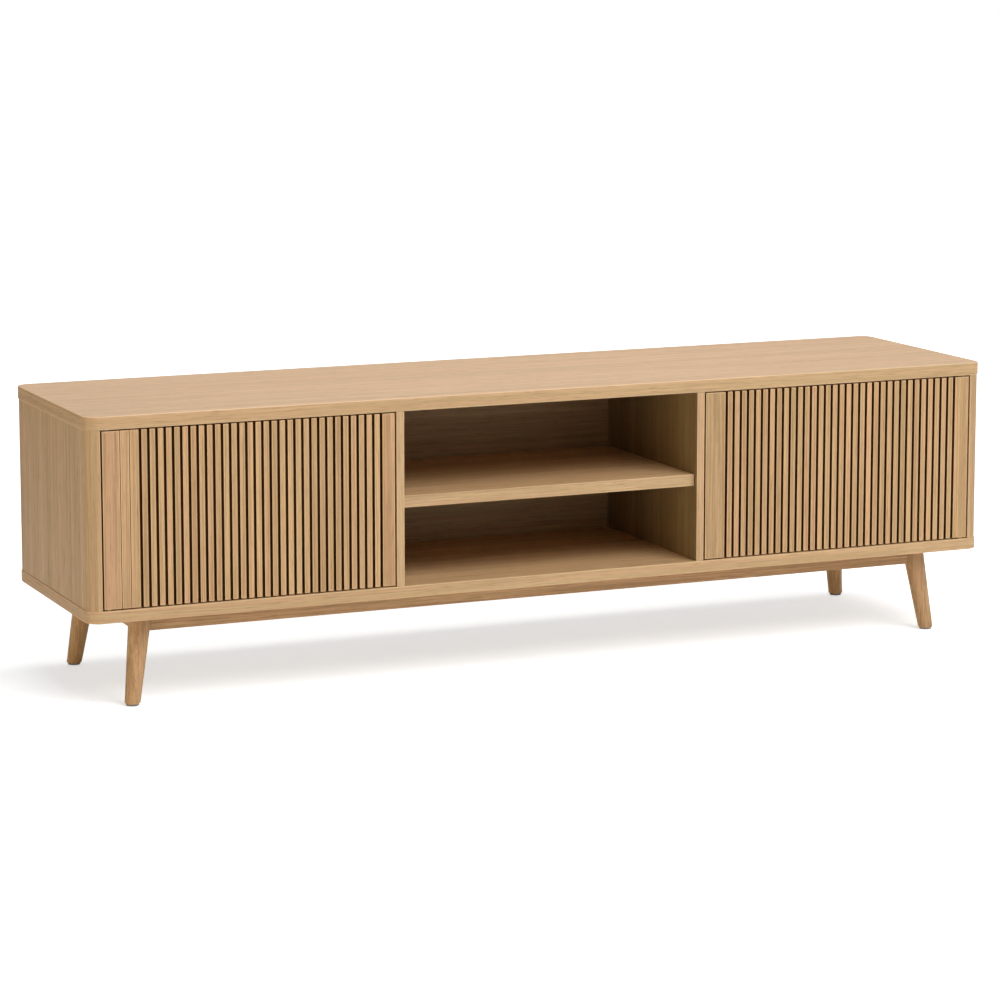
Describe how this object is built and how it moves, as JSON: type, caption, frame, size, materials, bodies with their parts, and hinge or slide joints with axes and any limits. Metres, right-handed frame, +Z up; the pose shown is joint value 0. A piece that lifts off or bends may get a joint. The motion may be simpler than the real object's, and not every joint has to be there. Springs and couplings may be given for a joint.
{
  "type": "media cabinet",
  "caption": "Low media cabinet on splayed round legs: slatted push-open doors either side of an open bay with a shelf.",
  "frame": {"origin": "on the floor, under the centre of the cabinet's plan", "axes": "+X to the viewer's right along the width as seen from the front, +Y to the back, +Z up; the front faces -Y"},
  "size_m": [1.8, 0.45, 0.526],
  "materials": {
    "top_oak": "light natural oak, matt lacquer, grain along the width",
    "case_oak": "light natural oak, matt lacquer",
    "door_oak": "light natural oak slats and boards, grain upright, matt lacquer",
    "leg_oak": "light natural oak, matt lacquer, grain along each piece",
    "inside_oak": "oak veneer on board, matt",
    "plated_steel": "zinc-plated",
    "brass": "plain turned brass",
    "grey_plastic": "moulded, matt",
    "black_plastic": "moulded, matt"
  },
  "bodies": {
    "cabinet": {"bottom_panel": "case_oak", "centre_back_panel": "inside_oak", "centre_shelf": "case_oak", "front_left_foot_glide": "grey_plastic", "front_left_leg": "leg_oak", "front_left_leg_stud_plate": "plated_steel", "front_rail": "leg_oak", "front_right_foot_glide": "grey_plastic", "front_right_leg": "leg_oak", "front_right_leg_stud_plate": "plated_steel", "left_back_panel": "inside_oak", "left_cable_grommet": "black_plastic", "left_divider": "case_oak", "left_front_shelf_pin": "plated_steel", "left_latch_body": "grey_plastic", "left_lower_case_pivot_plate": "plated_steel", "left_pivot_washer": "brass", "left_rail": "leg_oak", "left_rear_shelf_pin": "plated_steel", "left_side_panel": "case_oak", "left_upper_case_pivot_plate": "plated_steel", "rear_left_foot_glide": "grey_plastic", "rear_left_leg": "leg_oak", "rear_left_leg_stud_plate": "plated_steel", "rear_rail": "leg_oak", "rear_right_foot_glide": "grey_plastic", "rear_right_leg": "leg_oak", "rear_right_leg_stud_plate": "plated_steel", "right_back_panel": "inside_oak", "right_cable_grommet": "black_plastic", "right_divider": "case_oak", "right_front_shelf_pin": "plated_steel", "right_latch_body": "grey_plastic", "right_lower_case_pivot_plate": "plated_steel", "right_pivot_washer": "brass", "right_rail": "leg_oak", "right_rear_shelf_pin": "plated_steel", "right_side_panel": "case_oak", "right_upper_case_pivot_plate": "plated_steel", "top_panel": "top_oak"},
    "left_door": {"left_door_backing": "inside_oak", "left_door_first_flush_board": "door_oak", "left_door_inner_stile": "door_oak", "left_door_outer_stile": "door_oak", "left_door_second_flush_board": "door_oak", "left_door_slats": "door_oak", "left_strike_plate": "plated_steel", "left_upper_door_pivot_plate": "plated_steel", "left_lower_door_pivot_plate": "plated_steel"},
    "right_door": {"right_door_backing": "inside_oak", "right_door_inner_stile": "door_oak", "right_door_outer_stile": "door_oak", "right_door_slats": "door_oak", "right_strike_plate": "plated_steel", "right_upper_door_pivot_plate": "plated_steel", "right_lower_door_pivot_plate": "plated_steel"},
    "left_latch_plunger": {"left_latch_plunger": "grey_plastic"},
    "right_latch_plunger": {"right_latch_plunger": "grey_plastic"}
  },
  "joints": [
    {"name": "left_door_swing", "type": "hinge", "parent": "cabinet", "child": "left_door", "pos_m": [-0.8605, -0.2158, 0.342], "axis": [0, 0, -1], "range_deg": [0, 110]},
    {"name": "right_door_swing", "type": "hinge", "parent": "cabinet", "child": "right_door", "pos_m": [0.8605, -0.2158, 0.342], "axis": [0, 0, 1], "range_deg": [0, 110]},
    {"name": "left_latch_push", "type": "slide", "parent": "cabinet", "child": "left_latch_plunger", "axis": [0, 1, 0], "range_m": [0, 0.0025], "stiffness_N_per_m": 1500, "springref_m": -0.003},
    {"name": "right_latch_push", "type": "slide", "parent": "cabinet", "child": "right_latch_plunger", "axis": [0, 1, 0], "range_m": [0, 0.0025], "stiffness_N_per_m": 1500, "springref_m": -0.003}
  ]
}
